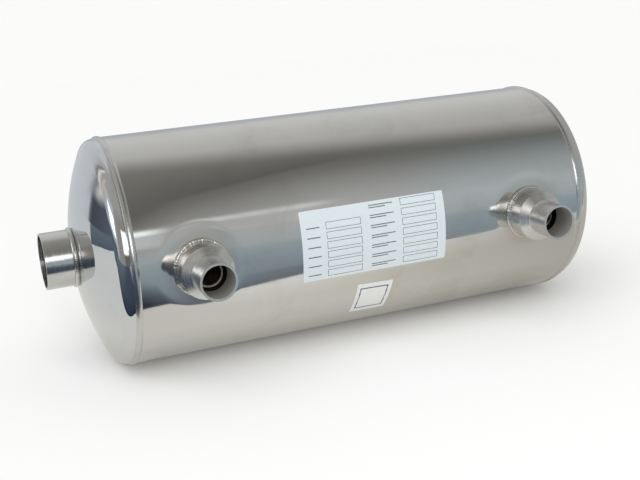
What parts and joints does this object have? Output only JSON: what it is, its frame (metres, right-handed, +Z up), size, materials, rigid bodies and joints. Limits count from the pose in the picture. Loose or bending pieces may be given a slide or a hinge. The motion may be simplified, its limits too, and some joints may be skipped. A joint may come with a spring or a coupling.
{
  "type": "pool heat exchanger",
  "caption": "Stainless cylinder lying on its side with dished ends, a pool water nozzle in each end and heating nozzles on the front, a tube coil inside.",
  "frame": {"origin": "middle of the underside of the whole box, on the floor that the two joint beads rest on", "axes": "+X along the cylinder, -Y the way the heating nozzles point, +Z up"},
  "size_m": [0.5896, 0.2712, 0.2215],
  "materials": {
    "polished_shell": "polished stainless sheet",
    "mirror_head": "mirror-polished pressed stainless",
    "joint_bead": "polished joint weld",
    "turned_nozzle": "finely turned stainless",
    "brushed_nozzle": "brushed stainless",
    "weld_bead": "rippled weld, slightly matt",
    "coil_tube": "plain drawn stainless tube"
  },
  "bodies": {
    "root": {"shell": "polished_shell", "left_head": "mirror_head", "right_head": "mirror_head", "left_rim_bead": "joint_bead", "right_rim_bead": "joint_bead", "left_pool_nozzle": "turned_nozzle", "right_pool_nozzle": "turned_nozzle", "left_pool_bead": "weld_bead", "right_pool_bead": "weld_bead", "left_stub": "brushed_nozzle", "right_stub": "brushed_nozzle", "left_stub_bead": "weld_bead", "right_stub_bead": "weld_bead", "left_reducer": "brushed_nozzle", "right_reducer": "brushed_nozzle", "left_spigot": "brushed_nozzle", "right_spigot": "brushed_nozzle", "left_collar": "coil_tube", "right_collar": "coil_tube", "coil": "coil_tube", "left_coil_lead": "coil_tube", "right_coil_lead": "coil_tube", "left_coil_leg": "coil_tube", "right_coil_leg": "coil_tube"}
  },
  "joints": []
}
